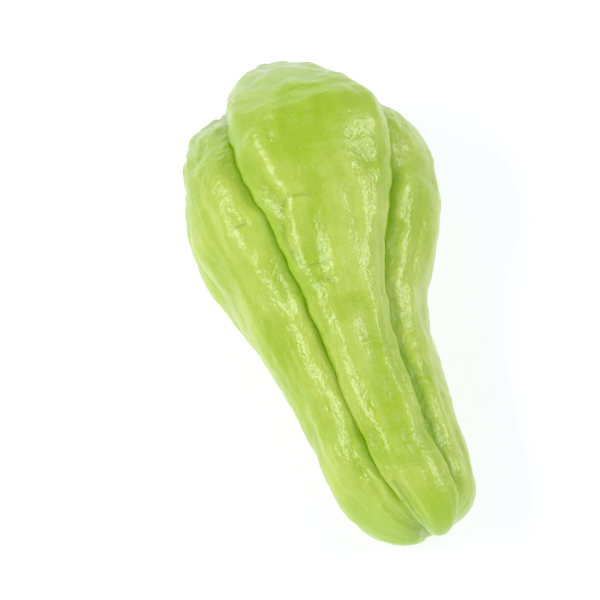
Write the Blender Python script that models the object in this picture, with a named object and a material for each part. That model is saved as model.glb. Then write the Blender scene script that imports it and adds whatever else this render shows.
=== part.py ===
"""Chayote squash, one fruit lying on its side.

The fruit is pear-shaped and bent a little, with five rounded lobes between five
furrows. The furrows run from the stem scar at the narrow end to a puckered cleft at
the wide blossom end. It grew as one piece, so it is one closed solid.

Metres, +Z up. +Y runs from the stem end to the blossom end, and the origin is under
the middle of the fruit, on the surface that it lies on.
"""
import math
from collections import namedtuple

import bmesh
import bpy
import numpy as np

# Driving dimensions. "Along" is measured from the stem nose, "out" from the core line.
LOBE_LENGTH = 0.160
NECK_RADIUS = 0.0248
BELLY_RADIUS = 0.0385
STEM_DIMPLE = 0.005
CLEFT_DEPTH = 0.018

# How the top of a lobe runs over the fruit, from stem scar to blossom pucker: (along, out).
CREST = (
    (STEM_DIMPLE, 0.0), (0.0016, 0.0035), (0.0, 0.008), (0.0025, 0.0145), (0.009, 0.020),
    (0.022, 0.0238), (0.042, NECK_RADIUS), (0.064, 0.0268), (0.086, 0.0315), (0.108, 0.037),
    (0.127, BELLY_RADIUS), (0.144, 0.0355), (0.1545, 0.0285), (LOBE_LENGTH, 0.018),
    (0.159, 0.008), (0.152, 0.0026), (LOBE_LENGTH - CLEFT_DEPTH, 0.0),
)
# The same for the bottom of a furrow, point for point.
FURROW = (
    (STEM_DIMPLE, 0.0), (0.0042, 0.0028), (0.0034, 0.0070), (0.0046, 0.0128), (0.0088, 0.0170),
    (0.0212, 0.0190), (0.042, 0.0198), (0.064, 0.0215), (0.086, 0.0255), (0.107, 0.0295),
    (0.125, 0.031), (0.138, 0.0275), (0.145, 0.0195), (0.147, 0.0115),
    (0.1465, 0.0055), (0.1445, 0.002), (LOBE_LENGTH - CLEFT_DEPTH, 0.0),
)
# The bent core line of the fruit: (along, x, z).
CORE = (
    (-0.003, 0.0005, 0.0194), (0.010, -0.0026, 0.0209), (0.027, -0.0050, 0.0224),
    (0.045, -0.0066, 0.0242), (0.062, -0.0090, 0.0265), (0.079, -0.0105, 0.0290),
    (0.095, -0.0086, 0.0310), (0.110, -0.0065, 0.0325), (0.132, -0.0042, 0.0335),
    (0.146, -0.0055, 0.0325), (0.162, -0.0086, 0.0310),
)
# How far from round the cross-section is: (along, share of the radius).
WIDTH = (
    (0.0, 0.98), (0.060, 0.98), (0.085, 1.10), (0.110, 1.13), (0.128, 1.10), (0.145, 0.98), (0.160, 0.89),
)
HEIGHT = ((0.0, 0.98), (0.060, 0.95), (0.110, 0.90), (0.140, 0.88), (0.152, 0.80), (0.162, 0.68))

# Lobes in turn round the core, anticlockwise as seen from the stem end. A lobe starts at
# its furrow, whose angle in degrees is given at each of FURROW_AT along the fruit. Its
# fullness is a share of the crest's radius, at the crest points counted in FULLNESS_AT.
# Its reach is how far it moves the crest line along the fruit at that end, in metres, and
# its slant is what its last flank adds to that and its first flank takes off.
FURROW_AT = (0.0, 0.025, 0.050, 0.075, 0.100, 0.130, 0.150)
FULLNESS_AT = (0, 3, 5, 6, 7, 7.8, 8.5, 10, 11.5, 13, 16)
Lobe = namedtuple("Lobe", "furrow fullness stem_reach stem_slant blossom_reach blossom_slant flank crown")
LOBES = (
    Lobe((50, 57, 58, 54, 49, 50, 52), (1, 1.04, 1.04, 1.04, 1.05, 1.05, 1.05, 1.06, 1.04, 0.99, 1),
         -0.0022, 0.0, 0.0, 0.0, 2.6, 2.0),
    Lobe((110, 117, 117, 112, 119, 133, 138), (1, 0.92, 1.02, 1.06, 1.0, 0.94, 0.985, 1, 1.02, 1, 1),
         0.0, -0.0025, -0.0128, 0.0070, 2.3, 1.9),
    Lobe((186, 186, 187, 186, 182, 180, 188), (1, 0.97, 0.98, 0.98, 0.90, 0.93, 1.005, 1.03, 1, 1, 1),
         0.0018, 0.0, -0.0040, 0.0, 2.3, 1.9),
    Lobe((266, 266, 266, 267, 268, 268, 268), (1, 1, 1, 0.99, 0.96, 0.98, 1, 1, 1, 1, 1),
         0.0034, 0.0, -0.0050, 0.0, 2.3, 1.9),
    Lobe((344, 344, 343, 342, 338, 334, 336), (1, 0.97, 0.98, 0.99, 1, 1.04, 1.02, 0.88, 0.72, 0.70, 0.88),
         0.0030, 0.0, -0.0160, -0.0104, 2.2, 1.9),
)
STEM_RAMP = ((0, 0), (1.5, 0.8), (3, 1), (5.5, 0.45), (8, 0), (9, 0))
BLOSSOM_RAMP = (
    (7, 0), (8.5, 0), (10, 0.14), (11.5, 0.5), (12.5, 0.82), (13.5, 1), (14.5, 0.82), (15.3, 0.4), (16, 0),
)

# How much squarer the lobes' ends are than their middles, where they crowd at the cleft.
BLOSSOM_SQUARE = 0.8

# Shallow swellings over the lobes: (height, length along the fruit, waves round it, start).
# They fade out over this many crest points before each pole.
SWELLINGS = ((0.00035, 0.047, 2, 0.6), (0.00025, 0.029, -3, 1.9))
POLE_FADE = 3

# The lobes' low spots are this much flatter where the fruit rests on them.
REST_FLAT = 0.001

RINGS = 62
STEPS_PER_LOBE = 16
WALK_POINTS = 2001

SKIN_COLOUR = (0.434, 0.631, 0.061, 1.0)
SKIN_ROUGHNESS = 0.38


def clear_scene():
    for item in list(bpy.data.objects):
        bpy.data.objects.remove(item, do_unlink=True)


def smooth(knots, values, at):
    """A cubic curve through the values, with the slope at each knot from its neighbours."""
    knots = np.asarray(knots, float)
    values = np.asarray(values, float)
    at = np.clip(np.asarray(at, float), knots[0], knots[-1])
    step = np.diff(knots)
    rise = np.diff(values) / step
    slope = np.empty_like(values)
    slope[0] = rise[0]
    slope[-1] = rise[-1]
    slope[1:-1] = (rise[:-1] * step[1:] + rise[1:] * step[:-1]) / (step[1:] + step[:-1])
    i = np.clip(np.searchsorted(knots, at, side="right") - 1, 0, len(step) - 1)
    h = step[i]
    t = (at - knots[i]) / h
    return ((1 + 2 * t) * (1 - t) ** 2 * values[i] + t * (1 - t) ** 2 * h * slope[i]
            + t * t * (3 - 2 * t) * values[i + 1] + t * t * (t - 1) * h * slope[i + 1])


def smooth_pairs(pairs, at):
    knots, values = zip(*pairs)
    return smooth(knots, values, at)


def outline_places(rings):
    """Places along the outlines, as point numbers, evenly spaced on the crest line."""
    numbers = np.arange(len(CREST), dtype=float)
    crest = np.array(CREST)
    fine = np.linspace(0, numbers[-1], WALK_POINTS)
    along = smooth(numbers, crest[:, 0], fine)
    out = smooth(numbers, crest[:, 1], fine)
    walked = np.concatenate([[0], np.cumsum(np.hypot(np.diff(along), np.diff(out)))])
    return np.interp(np.linspace(0, walked[-1], rings), walked, fine)


def outline(points, places):
    numbers = np.arange(len(points), dtype=float)
    points = np.array(points)
    along = smooth(numbers, points[:, 0], places)
    out = smooth(numbers, points[:, 1], places)
    return along, np.maximum(out, 0.0)


def lobe_grid(lobe, following, places, steps):
    """One lobe from its own furrow up to the next one, as along, out and turn grids."""
    crest_along, crest_out = outline(CREST, places)
    furrow_along, furrow_out = outline(FURROW, places)
    start = smooth(FURROW_AT, lobe.furrow, furrow_along)
    end = smooth(FURROW_AT, following.furrow, furrow_along)
    end = np.where(end < start, end + 360, end)

    across = np.radians(np.linspace(-90, 90, steps + 1)[:-1])
    flank = np.sign(across) * np.abs(np.sin(across)) ** (2 / lobe.flank)
    at_stem = smooth_pairs(STEM_RAMP, places)[:, None]
    at_blossom = smooth_pairs(BLOSSOM_RAMP, places)[:, None]
    crown = lobe.crown + BLOSSOM_SQUARE * at_blossom
    bulge = np.maximum(np.cos(across), 0.0) ** (2 / crown)
    bulge[:, 0] = 0.0

    reach = (lobe.stem_reach + lobe.stem_slant * flank) * at_stem
    reach = reach + (lobe.blossom_reach + lobe.blossom_slant * flank) * at_blossom
    fullness = smooth(FULLNESS_AT, lobe.fullness, places)
    along = furrow_along[:, None] + (crest_along - furrow_along)[:, None] * bulge + reach * bulge
    out = furrow_out[:, None] + (crest_out * fullness - furrow_out)[:, None] * bulge
    turn = np.radians(start[:, None] + (end - start)[:, None] * (flank + 1) / 2)
    for height, length, waves, first in SWELLINGS:
        wave = np.sin(2 * math.pi * along / length + waves * turn + first)
        out += height * bulge * wave * fade(places)[:, None]
    return along, out, turn


def fade(places):
    """Nothing at the two poles, everything along the fruit."""
    last = len(CREST) - 1
    return np.clip(np.minimum(places, last - places) / POLE_FADE, 0, 1)


def fruit_points(rings, steps):
    places = outline_places(rings)
    grids = []
    for number, lobe in enumerate(LOBES):
        following = LOBES[(number + 1) % len(LOBES)]
        grids.append(lobe_grid(lobe, following, places, steps))
    along, out, turn = (np.concatenate(parts, axis=1) for parts in zip(*grids))
    core = np.array(CORE)
    x = smooth(core[:, 0], core[:, 1], along) + out * smooth_pairs(WIDTH, along) * np.cos(turn)
    z = smooth(core[:, 0], core[:, 2], along) + out * smooth_pairs(HEIGHT, along) * np.sin(turn)
    return np.stack([x, along, z], axis=-1)


def settle(points):
    """Lay the fruit on its low spots, with the origin under the middle of its box."""
    lowest = points.min(axis=(0, 1))
    highest = points.max(axis=(0, 1))
    middle = (lowest + highest) / 2
    points = points - (middle[0], middle[1], lowest[2] + REST_FLAT)
    points[..., 2] = np.maximum(points[..., 2], 0.0)
    return points


def skin_material():
    material = bpy.data.materials.new("chayote_skin")
    material.use_nodes = True
    shader = material.node_tree.nodes["Principled BSDF"]
    shader.inputs["Base Color"].default_value = SKIN_COLOUR
    shader.inputs["Roughness"].default_value = SKIN_ROUGHNESS
    shader.inputs["Metallic"].default_value = 0.0
    return material


def build_fruit():
    points = settle(fruit_points(RINGS, STEPS_PER_LOBE))
    bm = bmesh.new()
    rings = [[bm.verts.new(point) for point in ring] for ring in points[1:-1]]
    stem_pole = bm.verts.new(points[0].mean(axis=0))
    blossom_pole = bm.verts.new(points[-1].mean(axis=0))
    around = len(rings[0])
    for j in range(around):
        k = (j + 1) % around
        bm.faces.new((stem_pole, rings[0][j], rings[0][k]))
        for ring, beyond in zip(rings[:-1], rings[1:]):
            bm.faces.new((ring[j], beyond[j], beyond[k], ring[k]))
        bm.faces.new((rings[-1][k], rings[-1][j], blossom_pole))
    bmesh.ops.recalc_face_normals(bm, faces=bm.faces)

    mesh = bpy.data.meshes.new("chayote_fruit")
    bm.to_mesh(mesh)
    bm.free()
    mesh.materials.append(skin_material())
    mesh.shade_smooth()
    fruit = bpy.data.objects.new("chayote_fruit", mesh)
    bpy.context.collection.objects.link(fruit)


def main():
    clear_scene()
    build_fruit()


main()
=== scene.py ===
"""Chayote squash: the looks of one whole fruit that lies on a pale surface.

Metres, +Z up. +Y runs from the stem end of the fruit to its blossom end.
"""
import math
from collections import namedtuple

import bpy
import numpy as np
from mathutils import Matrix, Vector


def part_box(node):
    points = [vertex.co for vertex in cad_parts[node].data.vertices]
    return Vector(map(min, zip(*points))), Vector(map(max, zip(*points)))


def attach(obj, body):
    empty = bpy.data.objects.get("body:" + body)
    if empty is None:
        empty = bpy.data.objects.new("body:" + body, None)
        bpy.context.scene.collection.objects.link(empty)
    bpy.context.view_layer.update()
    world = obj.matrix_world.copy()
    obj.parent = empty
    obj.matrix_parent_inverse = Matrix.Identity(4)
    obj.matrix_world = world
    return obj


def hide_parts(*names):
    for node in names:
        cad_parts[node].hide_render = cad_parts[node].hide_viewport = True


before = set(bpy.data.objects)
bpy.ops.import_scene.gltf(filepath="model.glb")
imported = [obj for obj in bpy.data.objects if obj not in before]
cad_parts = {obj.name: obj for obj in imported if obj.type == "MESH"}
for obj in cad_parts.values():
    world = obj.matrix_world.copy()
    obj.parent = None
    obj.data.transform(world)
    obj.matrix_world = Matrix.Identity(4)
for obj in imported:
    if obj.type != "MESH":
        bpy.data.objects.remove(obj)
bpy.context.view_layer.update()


# The fruit's form
# A chayote is one fleshy berry, pear-shaped and bent a little as it hung. Five rounded
# lobes grew between furrows that run from the stem scar to a cleft at the blossom end,
# where the lobes crowd together and fold in.

LOBE_LENGTH = 0.160
NECK_RADIUS = 0.0248
BELLY_RADIUS = 0.0385
STEM_DIMPLE = 0.005
CLEFT_DEPTH = 0.018

# The top of a lobe, from stem scar to blossom pucker, as (along the fruit, out from its core).
CREST = (
    (STEM_DIMPLE, 0.0), (0.0016, 0.0035), (0.0, 0.008), (0.0025, 0.0145), (0.009, 0.020),
    (0.022, 0.0238), (0.042, NECK_RADIUS), (0.064, 0.0268), (0.086, 0.0315), (0.108, 0.037),
    (0.127, BELLY_RADIUS), (0.144, 0.0355), (0.1545, 0.0285), (LOBE_LENGTH, 0.018),
    (0.159, 0.008), (0.152, 0.0026), (LOBE_LENGTH - CLEFT_DEPTH, 0.0),
)
# The bottom of a furrow, point for point.
FURROW = (
    (STEM_DIMPLE, 0.0), (0.0042, 0.0028), (0.0034, 0.0070), (0.0046, 0.0128), (0.0088, 0.0170),
    (0.0212, 0.0190), (0.042, 0.0198), (0.064, 0.0215), (0.086, 0.0255), (0.107, 0.0295),
    (0.125, 0.031), (0.138, 0.0275), (0.145, 0.0195), (0.147, 0.0115),
    (0.1465, 0.0055), (0.1445, 0.002), (LOBE_LENGTH - CLEFT_DEPTH, 0.0),
)
# The bent core line: (along, x, z).
CORE = (
    (-0.003, 0.0005, 0.0194), (0.010, -0.0026, 0.0209), (0.027, -0.0050, 0.0224),
    (0.045, -0.0066, 0.0242), (0.062, -0.0090, 0.0265), (0.079, -0.0105, 0.0290),
    (0.095, -0.0086, 0.0310), (0.110, -0.0065, 0.0325), (0.132, -0.0042, 0.0335),
    (0.146, -0.0055, 0.0325), (0.162, -0.0086, 0.0310),
)
# How far from round the cross-section is: (along, share of the radius).
WIDTH = (
    (0.0, 0.98), (0.060, 0.98), (0.085, 1.10), (0.110, 1.13), (0.128, 1.10), (0.145, 0.98), (0.160, 0.89),
)
HEIGHT = ((0.0, 0.98), (0.060, 0.95), (0.110, 0.90), (0.140, 0.88), (0.152, 0.80), (0.162, 0.68))

# Lobes in turn round the core. Each starts at its furrow, whose angle in degrees is given
# at each of FURROW_AT along the fruit. Fullness is a share of the crest's radius, at the
# crest points counted in FULLNESS_AT. Reach is how far a lobe moves the crest line along
# the fruit at that end, and slant is what its last flank adds and its first takes off.
FURROW_AT = (0.0, 0.025, 0.050, 0.075, 0.100, 0.130, 0.150)
FULLNESS_AT = (0, 3, 5, 6, 7, 7.8, 8.5, 10, 11.5, 13, 16)
Lobe = namedtuple("Lobe", "furrow fullness stem_reach stem_slant blossom_reach blossom_slant flank crown")
LOBES = (
    Lobe((50, 57, 58, 54, 49, 50, 52), (1, 1.04, 1.04, 1.04, 1.05, 1.05, 1.05, 1.06, 1.04, 0.99, 1),
         -0.0022, 0.0, 0.0, 0.0, 2.6, 2.0),
    Lobe((110, 117, 117, 112, 119, 133, 138), (1, 0.92, 1.02, 1.06, 1.0, 0.94, 0.985, 1, 1.02, 1, 1),
         0.0, -0.0025, -0.0128, 0.0070, 2.3, 1.9),
    Lobe((186, 186, 187, 186, 182, 180, 188), (1, 0.97, 0.98, 0.98, 0.90, 0.93, 1.005, 1.03, 1, 1, 1),
         0.0018, 0.0, -0.0040, 0.0, 2.3, 1.9),
    Lobe((266, 266, 266, 267, 268, 268, 268), (1, 1, 1, 0.99, 0.96, 0.98, 1, 1, 1, 1, 1),
         0.0034, 0.0, -0.0050, 0.0, 2.3, 1.9),
    Lobe((344, 344, 343, 342, 338, 334, 336), (1, 0.97, 0.98, 0.99, 1, 1.04, 1.02, 0.88, 0.72, 0.70, 0.88),
         0.0030, 0.0, -0.0160, -0.0104, 2.2, 1.9),
)
STEM_RAMP = ((0, 0), (1.5, 0.8), (3, 1), (5.5, 0.45), (8, 0), (9, 0))
BLOSSOM_RAMP = (
    (7, 0), (8.5, 0), (10, 0.14), (11.5, 0.5), (12.5, 0.82), (13.5, 1), (14.5, 0.82), (15.3, 0.4), (16, 0),
)
BLOSSOM_SQUARE = 0.8

# Shallow swellings over the lobes: (height, length along the fruit, waves round it, start).
SWELLINGS = ((0.00035, 0.047, 2, 0.6), (0.00025, 0.029, -3, 1.9))
# The furrows waver as the lobes press on each other: (degrees, length, start). Each
# furrow's wavers start this many radians on from those of the one before.
WAVERS = ((0.6, 0.023, 0.4), (0.35, 0.0125, 2.0), (0.2, 0.0075, 4.1))
WAVER_SHIFT = 1.7
# Swellings and wavers fade out over this many crest points before each pole.
POLE_FADE = 3
# The skin rounds over at the bottom of a furrow: the share of a lobe's rise that this takes.
FURROW_ROUND = 0.16
# The lobes' low spots are this much flatter where the fruit rests on them.
REST_FLAT = 0.001

RINGS = 300
STEPS_PER_LOBE = 62
# The crest line is walked in this many points, so that the rings are evenly spaced on it.
WALK_POINTS = 2001


def smooth(knots, values, at):
    """A cubic curve through the values, with the slope at each knot from its neighbours."""
    knots = np.asarray(knots, float)
    values = np.asarray(values, float)
    at = np.clip(np.asarray(at, float), knots[0], knots[-1])
    step = np.diff(knots)
    rise = np.diff(values) / step
    slope = np.empty_like(values)
    slope[0] = rise[0]
    slope[-1] = rise[-1]
    slope[1:-1] = (rise[:-1] * step[1:] + rise[1:] * step[:-1]) / (step[1:] + step[:-1])
    i = np.clip(np.searchsorted(knots, at, side="right") - 1, 0, len(step) - 1)
    h = step[i]
    t = (at - knots[i]) / h
    return ((1 + 2 * t) * (1 - t) ** 2 * values[i] + t * (1 - t) ** 2 * h * slope[i]
            + t * t * (3 - 2 * t) * values[i + 1] + t * t * (t - 1) * h * slope[i + 1])


def smooth_pairs(pairs, at):
    knots, values = zip(*pairs)
    return smooth(knots, values, at)


def outline_places(rings):
    """Places along the outlines, as point numbers, and the way walked to each on the crest line."""
    numbers = np.arange(len(CREST), dtype=float)
    crest = np.array(CREST)
    fine = np.linspace(0, numbers[-1], WALK_POINTS)
    along = smooth(numbers, crest[:, 0], fine)
    out = smooth(numbers, crest[:, 1], fine)
    walked = np.concatenate([[0], np.cumsum(np.hypot(np.diff(along), np.diff(out)))])
    run = np.linspace(0, walked[-1], rings)
    return np.interp(run, walked, fine), run


def outline(points, places):
    numbers = np.arange(len(points), dtype=float)
    points = np.array(points)
    along = smooth(numbers, points[:, 0], places)
    out = smooth(numbers, points[:, 1], places)
    return along, np.maximum(out, 0.0)


def fade(places):
    """Nothing at the two poles, everything along the fruit."""
    last = len(CREST) - 1
    return np.clip(np.minimum(places, last - places) / POLE_FADE, 0, 1)


def furrow_turn(number, along, places):
    """The angle of a furrow in degrees, with its wavers."""
    turn = smooth(FURROW_AT, LOBES[number].furrow, along)
    for size, length, start in WAVERS:
        wave = np.sin(2 * math.pi * along / length + start + WAVER_SHIFT * number)
        turn = turn + size * fade(places) * wave
    return turn


def lobe_surface(number, flank, bulge, places):
    """Points of one lobe as along, out and turn, and how far up the lobe each lies.

    Flank runs from -1 to 1 across the lobe. Bulge runs from 0 to 1 up it, and comes back
    shaped by the lobe's crown.
    """
    lobe = LOBES[number]
    crest_along, crest_out = outline(CREST, places)
    furrow_along, furrow_out = outline(FURROW, places)
    start = furrow_turn(number, furrow_along, places)
    end = furrow_turn((number + 1) % len(LOBES), furrow_along, places)
    end = np.where(end < start, end + 360, end)
    at_stem = smooth_pairs(STEM_RAMP, places)
    at_blossom = smooth_pairs(BLOSSOM_RAMP, places)
    bulge = bulge ** (2 / (lobe.crown + BLOSSOM_SQUARE * at_blossom))
    reach = (lobe.stem_reach + lobe.stem_slant * flank) * at_stem
    reach = reach + (lobe.blossom_reach + lobe.blossom_slant * flank) * at_blossom
    fullness = smooth(FULLNESS_AT, lobe.fullness, places)
    along = furrow_along + (crest_along - furrow_along) * bulge + reach * bulge
    out = furrow_out + (crest_out * fullness - furrow_out) * bulge
    turn = np.radians(start + (end - start) * (flank + 1) / 2)
    for height, length, waves, first in SWELLINGS:
        wave = np.sin(2 * math.pi * along / length + waves * turn + first)
        out = out + height * bulge * wave * fade(places)
    return along, out, turn, bulge


def in_space(along, out, turn):
    core = np.array(CORE)
    x = smooth(core[:, 0], core[:, 1], along) + out * smooth_pairs(WIDTH, along) * np.cos(turn)
    z = smooth(core[:, 0], core[:, 2], along) + out * smooth_pairs(HEIGHT, along) * np.sin(turn)
    return np.stack([x, along, z], axis=-1)


places, run = outline_places(RINGS)
across = np.radians(np.linspace(-90, 90, STEPS_PER_LOBE + 1)[:-1])
columns = []
for number, lobe in enumerate(LOBES):
    flank = np.sign(across) * np.abs(np.sin(across)) ** (2 / lobe.flank)
    rise = np.sqrt(np.cos(across) ** 2 * (1 - FURROW_ROUND ** 2) + FURROW_ROUND ** 2)
    along, out, turn, bulge = lobe_surface(number, flank, rise, places[:, None])
    share = np.broadcast_to((number + (flank + 1) / 2) / len(LOBES), along.shape)
    columns.append((along, out, turn, bulge, share))
along, out, turn, bulge, share = (np.concatenate(parts, axis=1) for parts in zip(*columns))
points = in_space(along, out, turn)

# The fruit lies where the CAD model's node lies.
node_low, node_high = (np.array(corner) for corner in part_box("chayote_fruit"))
low, high = points.min(axis=(0, 1)), points.max(axis=(0, 1))
shift = (node_low + node_high) / 2 - (low + high) / 2
shift[2] = node_low[2] - low[2] - REST_FLAT
points = points + shift

# Where a point is on the unbent skin: round by its share of the lobes, and along by the way walked.
SKIN_RADIUS = 0.030
POLE_RADIUS = 0.012
round_radius = SKIN_RADIUS * np.minimum(1, outline(CREST, places)[1] / POLE_RADIUS)[:, None]
skin_at = np.stack([
    round_radius * np.cos(2 * math.pi * share),
    np.broadcast_to(run[:, None], share.shape),
    round_radius * np.sin(2 * math.pi * share),
], axis=-1)

# Lines on the skin are given by a few spots each: (lobe, flank, crest point).
# Long low ridges and hollows where the flesh grew unevenly: (height, half width, spots).
RIDGES = (
    (0.00050, 0.0038, ((0, 0.59, 9.29), (0, 0.59, 9.05), (0, 0.54, 8.74), (0, 0.59, 8.46),
        (0, 0.69, 8.15), (0, 0.71, 7.91))),
    (0.00040, 0.0030, ((0, 0.00, 9.05), (0, 0.00, 8.82), (0, 0.00, 8.60))),
    (0.00030, 0.0018, ((0, -0.07, 8.74), (0, -0.07, 8.34), (0, -0.12, 7.94), (0, -0.16, 7.58))),
    (0.00055, 0.0034, ((0, -0.34, 8.69), (0, -0.37, 8.36), (0, -0.41, 7.96), (0, -0.46, 7.51),
        (0, -0.46, 7.12), (0, -0.54, 6.78))),
    (0.00035, 0.0018, ((0, 0.07, 8.25), (0, 0.12, 7.96), (0, 0.12, 7.60), (0, 0.07, 7.34))),
    (-0.00050, 0.0030, ((0, 0.20, 8.89), (0, 0.31, 8.43), (0, 0.37, 7.96))),
    (-0.00030, 0.0018, ((0, -0.20, 8.65), (0, -0.24, 8.32), (0, -0.28, 7.87))),
    (0.00045, 0.0034, ((0, 0.57, 10.05), (0, 0.62, 9.69), (0, 0.66, 9.29))),
    (0.00045, 0.0030, ((0, 0.46, 7.51), (0, 0.54, 7.14), (0, 0.43, 6.75), (0, 0.43, 6.14),
        (0, 0.43, 5.76), (0, 0.34, 5.31), (0, 0.37, 5.01))),
    (0.00040, 0.0024, ((0, 0.00, 7.34), (0, 0.07, 6.78), (0, -0.20, 6.49), (0, -0.16, 6.14),
        (0, -0.07, 5.78), (0, 0.00, 5.39))),
    (0.00060, 0.0036, ((0, -0.24, 5.60), (0, -0.28, 5.34), (0, -0.12, 5.01), (0, 0.00, 4.46),
        (0, 0.12, 3.80))),
    (0.00050, 0.0028, ((4, 0.82, 8.94), (4, 0.82, 8.58), (4, 0.84, 8.36))),
    (0.00040, 0.0026, ((4, 0.69, 8.20), (4, 0.62, 7.75), (4, 0.54, 7.34), (4, 0.57, 6.92),
        (4, 0.59, 6.56), (4, 0.62, 6.24))),
    (0.00036, 0.0022, ((4, 0.66, 5.83), (4, 0.69, 5.42), (4, 0.59, 5.10), (4, 0.77, 4.70),
        (4, 0.77, 4.20))),
    (0.00040, 0.0030, ((1, -0.13, 8.39), (1, 0.05, 7.94), (1, 0.00, 7.53), (1, -0.05, 7.07),
        (1, 0.00, 6.85))),
    (0.00045, 0.0034, ((1, -0.58, 9.66), (1, -0.63, 9.24), (1, -0.63, 8.74), (1, -0.61, 8.20),
        (1, -0.61, 7.31), (1, -0.58, 6.87), (1, -0.48, 6.39))),
    (0.00036, 0.0022, ((1, -0.89, 7.51), (1, -0.90, 6.90), (1, -0.90, 6.31), (1, -0.86, 5.83),
        (1, -0.76, 5.31), (1, -0.80, 4.88), (1, -0.76, 4.25))),
    (-0.00050, 0.0026, ((1, -0.09, 6.39), (1, 0.05, 6.11), (1, 0.05, 5.88))),
    (0.00035, 0.0020, ((0, 0.31, 10.20), (0, 0.34, 9.99), (0, 0.34, 9.81))),
    (0.00060, 0.0016, ((0, 0.24, 11.19), (0, 0.00, 11.43), (0, -0.20, 11.39), (0, -0.37, 11.15),
        (0, -0.41, 10.82))),
    (0.00060, 0.0014, ((0, 0.07, 10.72), (0, -0.07, 10.69), (0, -0.20, 10.59), (0, -0.34, 10.62),
        (0, -0.54, 10.72))),
    (-0.00050, 0.0013, ((0, 0.12, 10.95), (0, -0.05, 11.02), (0, -0.22, 10.95), (0, -0.36, 10.88))),
    (0.00040, 0.0015, ((0, -0.49, 10.35), (0, -0.54, 10.11), (0, -0.59, 9.87), (0, -0.64, 9.66))),
    (-0.00045, 0.0030, ((0, -0.31, 9.87), (0, -0.37, 9.57), (0, -0.44, 9.29), (0, -0.47, 9.05))),
    (0.00025, 0.0012, ((0, -0.28, 9.40), (0, -0.40, 9.34), (0, -0.52, 9.40), (0, -0.60, 9.34))),
    (0.00022, 0.0011, ((0, -0.24, 9.66), (0, -0.38, 9.72), (0, -0.54, 9.66))),
)
# Healed folds and scratches. The second scratch runs back along the first.
MARKS = (
    ((0, 0.34, 8.74), (0, 0.46, 8.77), (0, 0.57, 8.79), (0, 0.66, 8.74), (0, 0.73, 8.67)),
    ((0, 0.80, 8.48), (0, 0.83, 8.29), (0, 0.82, 8.11), (0, 0.77, 7.94)),
    ((0, 0.73, 7.91), (0, 0.77, 8.08), (0, 0.79, 8.25), (0, 0.77, 8.46)),
    ((0, 0.75, 7.94), (0, 0.64, 7.84), (0, 0.46, 7.82), (0, 0.31, 7.82), (0, 0.20, 7.84)),
    ((0, 0.62, 7.58), (0, 0.49, 7.60), (0, 0.37, 7.58), (0, 0.28, 7.55)),
    ((1, -0.48, 8.72), (1, -0.58, 8.74), (1, -0.68, 8.74)),
)
# Greenish grey cork where two lobes rub, beside the furrow near the stem end, and one
# small scab.
CORK_LINES = (
    ((0, 0.80, 4.54), (0, 0.80, 4.20), (0, 0.81, 3.80), (0, 0.80, 3.29), (0, 0.78, 2.65)),
    ((0, 0.92, 4.10), (0, 0.93, 3.70), (0, 0.93, 3.20), (0, 0.92, 2.70), (0, 0.88, 2.20)),
)
SCAB = ((0, 0.73, 5.31), (0, 0.78, 5.36))
# Gaps to a line are measured up to this.
FAR = 0.006
STEPS_PER_SPOT = 4


def surface_line(spots):
    """A smooth line through spots of one lobe, as points on the skin."""
    number = spots[0][0]
    numbers = np.arange(len(spots))
    fine = np.linspace(0, len(spots) - 1, (len(spots) - 1) * STEPS_PER_SPOT + 1)
    flank = smooth(numbers, [spot[1] for spot in spots], fine)
    place = smooth(numbers, [spot[2] for spot in spots], fine)
    rise = np.sqrt(1 - np.abs(flank) ** LOBES[number].flank)
    along, out, turn, _ = lobe_surface(number, flank, rise, place)
    return in_space(along, out, turn) + shift


def gap_to_line(line, everywhere, normals):
    """For every point, its distance to a line, and 1 on the line's left or -1 on its right."""
    gap = np.full(everywhere.shape[:-1], FAR)
    side = np.ones_like(gap)
    for a, b in zip(line[:-1], line[1:]):
        part = np.clip(((everywhere - a) @ (b - a)) / ((b - a) @ (b - a)), 0, 1)
        offset = everywhere - a - part[..., None] * (b - a)
        away = np.linalg.norm(offset, axis=-1)
        left = np.sign((np.cross(b - a, offset) * normals).sum(axis=-1))
        nearer = away < gap
        gap[nearer] = away[nearer]
        side[nearer] = left[nearer]
    return gap, side


across_skin = np.roll(points, -1, axis=1) - np.roll(points, 1, axis=1)
normals = np.cross(np.gradient(points, axis=0), across_skin)
normals /= np.linalg.norm(normals, axis=-1, keepdims=True) + 1e-12

ridge = np.zeros(share.shape)
for height, half_width, spots in RIDGES:
    gap, _ = gap_to_line(surface_line(spots), points, normals)
    ridge += height * np.exp(-(gap / half_width) ** 2)
mark_gap = np.full(share.shape, FAR)
mark_side = np.full(share.shape, FAR)
for spots in MARKS:
    gap, side = gap_to_line(surface_line(spots), points, normals)
    mark_side = np.where(gap < mark_gap, gap * side, mark_side)
    mark_gap = np.minimum(gap, mark_gap)
cork_gap = np.full(share.shape, FAR)
for spots in CORK_LINES:
    gap, _ = gap_to_line(surface_line(spots), points, normals)
    cork_gap = np.minimum(gap, cork_gap)
scab_gap, _ = gap_to_line(surface_line(SCAB), points, normals)


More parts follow.
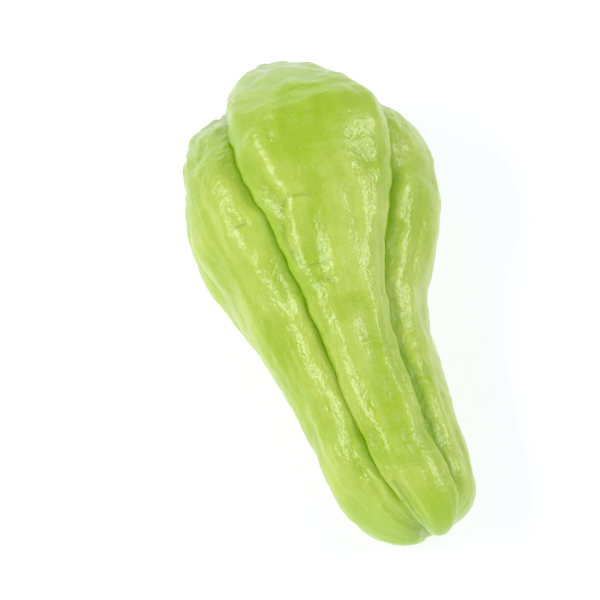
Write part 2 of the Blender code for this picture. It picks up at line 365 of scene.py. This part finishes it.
def skin_mesh(name, grid, fields):
    """A closed skin over the rings of a grid, with a pole at each end, and its fields as attributes."""
    rings, around = grid.shape[0] - 2, grid.shape[1]
    poles = rings * around
    i, j = np.meshgrid(np.arange(rings - 1), np.arange(around), indexing="ij")
    k = (j + 1) % around
    quads = np.stack([
        i * around + j, (i + 1) * around + j, (i + 1) * around + k, i * around + k,
    ], -1).reshape(-1, 4)
    j = np.arange(around)
    k = (j + 1) % around
    stem_cap = np.stack([np.full(around, poles), j, k], -1)
    last = (rings - 1) * around
    blossom_cap = np.stack([last + k, last + j, np.full(around, poles + 1)], -1)

    def on_points(field):
        body = field[1:-1].reshape(-1, *field.shape[2:])
        return np.concatenate([body, field[:1].mean(axis=1), field[-1:].mean(axis=1)])

    mesh = bpy.data.meshes.new(name)
    faces = quads.tolist() + stem_cap.tolist() + blossom_cap.tolist()
    mesh.from_pydata(on_points(grid).tolist(), [], faces)
    for title, field in fields.items():
        flat = on_points(field)
        if flat.ndim == 2:
            mesh.attributes.new(title, "FLOAT_VECTOR", "POINT").data.foreach_set("vector", flat.ravel())
        else:
            mesh.attributes.new(title, "FLOAT", "POINT").data.foreach_set("value", flat.ravel())
    mesh.shade_smooth()
    return mesh


journey = np.broadcast_to((places / (len(CREST) - 1))[:, None], share.shape)
fields = {
    "skin_at": skin_at, "bulge": bulge, "journey": journey, "ridge": ridge,
    "mark_gap": mark_gap, "mark_side": mark_side, "cork_gap": cork_gap, "scab_gap": scab_gap,
}
fruit = bpy.data.objects.new("chayote_skin", skin_mesh("chayote_skin", points, fields))
bpy.context.collection.objects.link(fruit)


# The skin's relief
# The skin isn't smooth: shallow flutes run along the lobes, the flesh swells in low
# lumps, and the blossom end is puckered in small wrinkles. All this fades out at the
# bottom of the furrows and at the stem end. The old scratches lie a little deeper.

RELIEF = {
    "ridge_share": 0.9,
    "flute_width": 0.0065, "flute_length": 0.038, "flute_height": 0.0006,
    "lump_width": 0.019, "lump_length": 0.019, "lump_height": 0.0010,
    "pucker_width": 0.0075, "pucker_length": 0.0075, "pucker_height": 0.0012,
    "wrinkle_width": 0.0050, "wrinkle_length": 0.0031, "wrinkle_height": 0.0006,
    "crease_width": 0.0022, "crease_depth": 0.00032,
    "quiet_share": 0.25,
    "seed": 3.0,
}
# Which part of the journey from stem to blossom end brings the puckers and wrinkles in.
PUCKER_FROM, PUCKER_TO = 0.60, 0.78
# The stem end is taut and plain up to the first of these, and uneven from the second on.
PLAIN_TO, UNEVEN_FROM = 0.10, 0.32
# How far up a lobe's rise the relief reaches its full height.
FULL_RELIEF_AT = 0.5
# Noise in a node runs from 0 to 1 about its middle. Stretched to these, it swings about zero.
NOISE_LOW, NOISE_HIGH = -2.0, 2.0


def node(tree, kind, inputs=None, **settings):
    """Add a node with its settings, and give each input a value or another node's output."""
    made = tree.nodes.new(kind)
    for name, value in settings.items():
        setattr(made, name, value)
    for socket, value in (inputs or {}).items():
        if isinstance(value, bpy.types.NodeSocket):
            tree.links.new(value, made.inputs[socket])
        else:
            made.inputs[socket].default_value = value
    return made.outputs


def relief_tree():
    """Push a skin in and out by its ridges, four layers of soft noise, and its marks."""
    tree = bpy.data.node_groups.new("chayote_relief", "GeometryNodeTree")
    tree.interface.new_socket("geometry", in_out="INPUT", socket_type="NodeSocketGeometry")
    tree.interface.new_socket("geometry", in_out="OUTPUT", socket_type="NodeSocketGeometry")
    for name in RELIEF:
        tree.interface.new_socket(name, in_out="INPUT", socket_type="NodeSocketFloat")
    tree.interface.new_socket("skin", in_out="INPUT", socket_type="NodeSocketMaterial")
    given = node(tree, "NodeGroupInput")
    own = {}
    for name in ("bulge", "journey", "ridge", "mark_gap"):
        own[name] = node(tree, "GeometryNodeInputNamedAttribute", {"Name": name})["Attribute"]
    unbent = node(tree, "GeometryNodeInputNamedAttribute", {"Name": "skin_at"},
                  data_type="FLOAT_VECTOR")["Attribute"]
    place = node(tree, "GeometryNodeInputPosition")[0]

    at_end = node(tree, "ShaderNodeMapRange", {
        0: own["journey"], 1: PUCKER_FROM, 2: PUCKER_TO, 3: given["quiet_share"], 4: 1.0})[0]
    height = node(tree, "ShaderNodeMath", {0: own["ridge"], 1: given["ridge_share"]},
                  operation="MULTIPLY")[0]
    # Each layer of noise: its name, where it is read, its detail, and its share of its height.
    for name, where, detail, share in (
            ("flute", unbent, 1.5, 1.0), ("lump", place, 1.0, 1.0),
            ("pucker", place, 1.5, at_end), ("wrinkle", unbent, 2.0, at_end)):
        width, length = given[name + "_width"], given[name + "_length"]
        cell = node(tree, "ShaderNodeCombineXYZ", {0: width, 1: length, 2: width})[0]
        at = node(tree, "ShaderNodeVectorMath", {0: where, 1: cell}, operation="DIVIDE")[0]
        noise = node(tree, "ShaderNodeTexNoise", {
            "Vector": at, "W": given["seed"], "Scale": 1.0, "Detail": detail}, noise_dimensions="4D")[0]
        swing = node(tree, "ShaderNodeMapRange", {0: noise, 3: NOISE_LOW, 4: NOISE_HIGH})[0]
        swing = node(tree, "ShaderNodeMath", {0: swing, 1: share}, operation="MULTIPLY")[0]
        height = node(tree, "ShaderNodeMath", {0: swing, 1: given[name + "_height"], 2: height},
                      operation="MULTIPLY_ADD")[0]

    rise = node(tree, "ShaderNodeMapRange", {0: own["bulge"], 1: 0.0, 2: FULL_RELIEF_AT},
                interpolation_type="SMOOTHSTEP")[0]
    height = node(tree, "ShaderNodeMath", {0: height, 1: rise}, operation="MULTIPLY")[0]
    off_stem = node(tree, "ShaderNodeMapRange", {0: own["journey"], 1: PLAIN_TO, 2: UNEVEN_FROM},
                    interpolation_type="SMOOTHSTEP")[0]
    height = node(tree, "ShaderNodeMath", {0: height, 1: off_stem}, operation="MULTIPLY")[0]
    scratch = node(tree, "ShaderNodeMapRange", {
        0: own["mark_gap"], 1: 0.0, 2: given["crease_width"], 3: given["crease_depth"], 4: 0.0,
    }, interpolation_type="SMOOTHSTEP")[0]
    height = node(tree, "ShaderNodeMath", {0: height, 1: scratch}, operation="SUBTRACT")[0]
    noted = node(tree, "GeometryNodeStoreNamedAttribute", {
        "Geometry": given["geometry"], "Name": "relief", "Value": height})[0]
    normal = node(tree, "GeometryNodeInputNormal")[0]
    offset = node(tree, "ShaderNodeVectorMath", {0: normal, "Scale": height}, operation="SCALE")[0]
    raised = node(tree, "GeometryNodeSetPosition", {"Geometry": noted, "Offset": offset})[0]

    # Nothing sinks below the surface that the fruit lies on.
    x, y, z = node(tree, "ShaderNodeSeparateXYZ", {0: node(tree, "GeometryNodeInputPosition")[0]})
    z = node(tree, "ShaderNodeMath", {0: z, 1: 0.0}, operation="MAXIMUM")[0]
    level = node(tree, "ShaderNodeCombineXYZ", {0: x, 1: y, 2: z})[0]
    rested = node(tree, "GeometryNodeSetPosition", {"Geometry": raised, "Position": level})[0]
    real = node(tree, "GeometryNodeRealizeInstances", {"Geometry": rested})[0]
    dressed = node(tree, "GeometryNodeSetMaterial", {"Geometry": real, "Material": given["skin"]})[0]
    node(tree, "NodeGroupOutput", {"geometry": dressed})
    return tree


def apply_relief(piece, material):
    modifier = piece.modifiers.new("relief", "NODES")
    modifier.node_group = relief_tree()
    for item in modifier.node_group.interface.items_tree:
        if item.in_out == "INPUT" and item.name in RELIEF:
            modifier[item.identifier] = RELIEF[item.name]
        if item.in_out == "INPUT" and item.name == "skin":
            modifier[item.identifier] = material
    raised = piece.evaluated_get(bpy.context.evaluated_depsgraph_get())
    finished = bpy.data.meshes.new_from_object(raised)
    piece.modifiers.remove(modifier)
    piece.data = finished
    finished.name = piece.name


# The skin's colour and gloss
# The rind is a thin, tender, waxy skin over wet flesh. It is yellow-green, paler in random
# streaks and blotches. Raised skin is painted paler and hollows deeper as painted highlight
# and shade, the furrows carry painted shade of a deeper, more saturated green, and the blossom
# end's whitish top is partly a painted reflection. Its wax and fine pores give a soft gloss
# that breaks up into small glints.

FRESH_GREEN = "#A7C800"
PALE_GREEN = "#C5D958"

# Real skin varies in cells of about these sizes, across and along the fruit.
STREAK_WIDTH = 0.0045
STREAK_LENGTH = 0.045
BLOTCH_SIZE = 0.020
SPECKLE_SIZE = 0.0020
# How much of the paleness is speckle, and how many finer layers the noises have.
SPECKLE_SHARE = 0.32
STREAK_DETAIL = 3.0
GRAIN_DETAIL = 2.0
# Painted highlight: raised skin is painted paler and hollows deeper; a millimetre of relief adds 0.26 to
# the noise that picks the green.
RELIEF_PAINTED_HIGHLIGHT = 260.0
PALE_FROM, PALE_TO = 0.84, 1.20

# Coats of colour over that: (attribute, from, to, share at from, share at to, colour).
COATS = (
    # Painted shade: the furrows are painted a deeper, more saturated green, fading out up the lobes.
    ("bulge", 0.10, 0.70, 1.0, 0.0, "#9ECC00"),
    ("journey", 0.58, 0.64, 0.0, 0.45, "#9CC208"),
    # Partly the paler, wrinkled blossom end and partly a painted reflection: a whitish sheen over its top.
    ("journey", 0.66, 0.73, 0.0, 0.70, "#C4D898"),
    ("journey", 0.10, 0.30, 0.6, 0.0, "#B0DE30"),
    ("journey", 0.020, 0.085, 0.9, 0.0, "#B89F78"),
    ("cork_gap", 0.0004, 0.0011, 0.70, 0.0, "#788C34"),
    ("scab_gap", 0.0005, 0.0011, 0.6, 0.0, "#C9A66E"),
)
# Cork and scab have ragged edges: how far the speckle moves them.
RAGGED = 0.0010
# Healed folds and scratches are a thin deeper green line, which ends with them.
CREASE_GREEN = "#84AC00"
CREASE_HALF_WIDTH = 0.00065
CREASE_END_FROM, CREASE_END_TO = 0.0006, 0.0012
CREASE_SHARE = 0.55

# Pores of a tenth of a millimetre don't show, so they are drawn as grain of 1.2 mm.
PORE_SIZE = 0.0012
PORE_DEPTH = 0.00023
FIBRE_WIDTH = 0.0016
FIBRE_LENGTH = 0.0045
FIBRE_DEPTH = 0.00018
# The skin is a little rougher on its fibres than between them, under a coat of wax.
FIBRE_LOW, FIBRE_HIGH = 0.3, 0.7
ROUGHNESS_LOW, ROUGHNESS_HIGH = 0.30, 0.40
WAX_SHARE = 1.0
WAX_ROUGHNESS = 0.35
SKIN_IOR = 1.40
# Light sinks a few millimetres into the wet flesh, red and green further than blue.
SINK_SHARE = 0.4
SINK_DEPTH = 0.004
SINK_BY_COLOUR = (0.8, 1.0, 0.25)


def linear(hex_colour):
    """An sRGB hex colour as linear RGBA."""
    parts = [int(hex_colour[i:i + 2], 16) / 255 for i in (1, 3, 5)]
    return (*(p / 12.92 if p <= 0.04045 else ((p + 0.055) / 1.055) ** 2.4 for p in parts), 1.0)


def waxy_chayote_skin():
    """Fresh rind as grown: thin wax over wet flesh, so light sinks in and glows a little, with a painted
    highlight on raised skin and painted shade in the furrows.
    """
    material = bpy.data.materials.new("waxy_chayote_skin")
    material.use_nodes = True
    tree = material.node_tree
    tree.nodes.clear()
    own = {}
    for name in ("bulge", "journey", "relief", "mark_gap", "mark_side", "cork_gap", "scab_gap"):
        own[name] = node(tree, "ShaderNodeAttribute", attribute_name=name)["Fac"]
    unbent = node(tree, "ShaderNodeAttribute", attribute_name="skin_at")["Vector"]
    place = node(tree, "ShaderNodeTexCoord")["Object"]

    streak_cells = (1 / STREAK_WIDTH, 1 / STREAK_LENGTH, 1 / STREAK_WIDTH)
    streak_at = node(tree, "ShaderNodeVectorMath", {0: unbent, 1: streak_cells}, operation="MULTIPLY")[0]
    streak = node(tree, "ShaderNodeTexNoise", {
        "Vector": streak_at, "Scale": 1.0, "Detail": STREAK_DETAIL})[0]
    blotch = node(tree, "ShaderNodeTexNoise", {
        "Vector": place, "Scale": 1 / BLOTCH_SIZE, "Detail": GRAIN_DETAIL})[0]
    speckle = node(tree, "ShaderNodeTexNoise", {
        "Vector": place, "Scale": 1 / SPECKLE_SIZE, "Detail": GRAIN_DETAIL})[0]
    pale = node(tree, "ShaderNodeMath", {0: streak, 1: blotch}, operation="ADD")[0]
    # Painted highlight: raised skin is painted paler, hollows deeper.
    pale = node(tree, "ShaderNodeMath", {0: own["relief"], 1: RELIEF_PAINTED_HIGHLIGHT, 2: pale},
                operation="MULTIPLY_ADD")[0]
    pale = node(tree, "ShaderNodeMapRange", {0: pale, 1: PALE_FROM, 2: PALE_TO})[0]
    pale = node(tree, "ShaderNodeMix", {0: SPECKLE_SHARE, 2: pale, 3: speckle})[0]
    colour = node(tree, "ShaderNodeMix", {
        0: pale, 6: linear(FRESH_GREEN), 7: linear(PALE_GREEN)}, data_type="RGBA")[2]
    for name in ("cork_gap", "scab_gap"):
        own[name] = node(tree, "ShaderNodeMath", {0: speckle, 1: RAGGED, 2: own[name]},
                         operation="MULTIPLY_ADD")[0]
    for name, start, end, at_start, at_end, coat in COATS:
        share = node(tree, "ShaderNodeMapRange", {
            0: own[name], 1: start, 2: end, 3: at_start, 4: at_end})[0]
        colour = node(tree, "ShaderNodeMix", {
            0: share, 6: colour, 7: linear(coat)}, data_type="RGBA")[2]

    off_line = node(tree, "ShaderNodeMath", {0: own["mark_side"]}, operation="ABSOLUTE")[0]
    on_line = node(tree, "ShaderNodeMapRange", {
        0: off_line, 1: 0.0, 2: CREASE_HALF_WIDTH, 3: CREASE_SHARE, 4: 0.0})[0]
    near = node(tree, "ShaderNodeMapRange", {
        0: own["mark_gap"], 1: CREASE_END_FROM, 2: CREASE_END_TO, 3: 1.0, 4: 0.0})[0]
    crease = node(tree, "ShaderNodeMath", {0: on_line, 1: near}, operation="MULTIPLY")[0]
    colour = node(tree, "ShaderNodeMix", {
        0: crease, 6: colour, 7: linear(CREASE_GREEN)}, data_type="RGBA")[2]

    pores = node(tree, "ShaderNodeTexNoise", {
        "Vector": place, "Scale": 1 / PORE_SIZE, "Detail": GRAIN_DETAIL})[0]
    fibre_cells = (1 / FIBRE_WIDTH, 1 / FIBRE_LENGTH, 1 / FIBRE_WIDTH)
    fibre_at = node(tree, "ShaderNodeVectorMath", {0: unbent, 1: fibre_cells}, operation="MULTIPLY")[0]
    fibres = node(tree, "ShaderNodeTexNoise", {
        "Vector": fibre_at, "Scale": 1.0, "Detail": GRAIN_DETAIL})[0]
    pore_bump = node(tree, "ShaderNodeBump", {"Distance": PORE_DEPTH, "Height": pores})[0]
    bump = node(tree, "ShaderNodeBump", {
        "Distance": FIBRE_DEPTH, "Height": fibres, "Normal": pore_bump})[0]
    roughness = node(tree, "ShaderNodeMapRange", {
        0: fibres, 1: FIBRE_LOW, 2: FIBRE_HIGH, 3: ROUGHNESS_LOW, 4: ROUGHNESS_HIGH})[0]
    shader = node(tree, "ShaderNodeBsdfPrincipled", {
        "Base Color": colour, "Roughness": roughness, "IOR": SKIN_IOR, "Normal": bump,
        "Subsurface Weight": SINK_SHARE, "Subsurface Radius": SINK_BY_COLOUR,
        "Subsurface Scale": SINK_DEPTH,
        "Coat Weight": WAX_SHARE, "Coat Roughness": WAX_ROUGHNESS, "Coat Normal": bump,
    })[0]
    node(tree, "ShaderNodeOutputMaterial", {"Surface": shader})
    return material


apply_relief(fruit, waxy_chayote_skin())
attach(fruit, "root")
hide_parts("chayote_fruit")


# The studio
# The fruit lies on matt white paper that is lit from below, between walls of white
# cloth. Two soft boxes shine from high on the left and right, with a small one overhead,
# a wide strip behind the fruit and a fill in front.

FLOOR_GLOW = 0.65
FLOOR_GLOW_COLOUR = "#F6F8FF"
PAPER_DARK = "#B9BABF"
PAPER_LIGHT = "#C0C1C6"
PAPER_GRAIN = 0.0025
PAPER_DETAIL = 4.0
PAPER_ROUGHNESS = 0.9


def paper_material():
    material = bpy.data.materials.new("white_paper")
    material.use_nodes = True
    tree = material.node_tree
    tree.nodes.clear()
    place = node(tree, "ShaderNodeTexCoord")["Object"]
    fibres = node(tree, "ShaderNodeTexNoise", {
        "Vector": place, "Scale": 1 / PAPER_GRAIN, "Detail": PAPER_DETAIL})[0]
    tone = node(tree, "ShaderNodeMix", {
        0: fibres, 6: linear(PAPER_DARK), 7: linear(PAPER_LIGHT)}, data_type="RGBA")[2]
    shader = node(tree, "ShaderNodeBsdfPrincipled", {
        "Base Color": tone, "Roughness": PAPER_ROUGHNESS,
        "Emission Color": linear(FLOOR_GLOW_COLOUR), "Emission Strength": FLOOR_GLOW,
    })[0]
    node(tree, "ShaderNodeOutputMaterial", {"Surface": shader})
    return material


FLOOR_SIZE = 6.0
FLOOR_DROP = 0.0002
half = FLOOR_SIZE / 2
floor_mesh = bpy.data.meshes.new("paper_floor")
floor_corners = [
    (-half, -half, -FLOOR_DROP), (half, -half, -FLOOR_DROP),
    (half, half, -FLOOR_DROP), (-half, half, -FLOOR_DROP),
]
floor_mesh.from_pydata(floor_corners, [], [(0, 1, 2, 3)])
floor_mesh.materials.append(paper_material())
floor = bpy.data.objects.new("paper_floor", floor_mesh)
bpy.context.collection.objects.link(floor)

# The walls' light turns into the ceiling's between these upward shares of a direction.
WALL_STRENGTH = 0.235
CEILING_STRENGTH = 0.20
WALL_TO, CEILING_FROM = 0.25, 0.65
world = bpy.data.worlds.new("white_studio")
world.use_nodes = True
world.node_tree.nodes.clear()
direction = node(world.node_tree, "ShaderNodeTexCoord")["Generated"]
upward = node(world.node_tree, "ShaderNodeSeparateXYZ", {0: direction})["Z"]
strength = node(world.node_tree, "ShaderNodeMapRange", {
    0: upward, 1: WALL_TO, 2: CEILING_FROM, 3: WALL_STRENGTH, 4: CEILING_STRENGTH,
}, interpolation_type="SMOOTHSTEP")[0]
glow = node(world.node_tree, "ShaderNodeBackground", {
    "Color": (1.0, 1.0, 1.0, 1.0), "Strength": strength})[0]
node(world.node_tree, "ShaderNodeOutputWorld", {"Surface": glow})
bpy.context.scene.world = world

# Soft boxes: (name, direction from the fruit, distance, width, height, watts).
SOFT_BOXES = (
    ("left_soft_box", (-0.66, 0.02, 0.75), 0.8, 0.46, 0.22, 3.3),
    ("right_soft_box", (0.76, -0.16, 0.62), 0.8, 0.40, 0.14, 2.5),
    ("top_soft_box", (0.25, -0.15, 0.95), 0.8, 0.30, 0.10, 0.5),
    ("back_strip", (0.0, 0.95, 0.30), 1.0, 1.3, 0.40, 3.0),
    ("front_fill", (-0.58, -0.76, 0.28), 1.0, 0.8, 0.50, 1.9),
)
middle = Vector((0.0, 0.01, 0.035))
for name, direction, distance, width, height, watts in SOFT_BOXES:
    lamp = bpy.data.lights.new(name, "AREA")
    lamp.shape = "RECTANGLE"
    lamp.size = width
    lamp.size_y = height
    lamp.energy = watts
    box = bpy.data.objects.new(name, lamp)
    box.location = middle + Vector(direction).normalized() * distance
    box.rotation_euler = Vector(direction).to_track_quat("Z", "Y").to_euler()
    bpy.context.collection.objects.link(box)

bpy.context.scene.view_settings.view_transform = "Standard"


# The camera
# It looks steeply down on the fruit from a little to the left of its stem end, through a
# long lens, so that the fruit shows whole and hardly foreshortened.

CAMERA_TURN = math.radians(-16)
CAMERA_RISE = math.radians(66)
CAMERA_DISTANCE = 0.85
CAMERA_HALF_VIEW = math.radians(6.35)
CAMERA_TARGET = Vector((-0.0131, 0.0048, 0.0291))
SENSOR_WIDTH_MM = 36.0
CLIP_START = 0.01
back = Vector((
    math.sin(CAMERA_TURN) * math.cos(CAMERA_RISE),
    -math.cos(CAMERA_TURN) * math.cos(CAMERA_RISE),
    math.sin(CAMERA_RISE),
))
lens = bpy.data.cameras.new("camera")
lens.sensor_width = SENSOR_WIDTH_MM
lens.lens = lens.sensor_width / 2 / math.tan(CAMERA_HALF_VIEW)
lens.clip_start = CLIP_START
camera = bpy.data.objects.new("camera", lens)
camera.location = CAMERA_TARGET + back * CAMERA_DISTANCE
camera.rotation_euler = back.to_track_quat("Z", "Y").to_euler()
bpy.context.collection.objects.link(camera)
bpy.context.scene.camera = camera
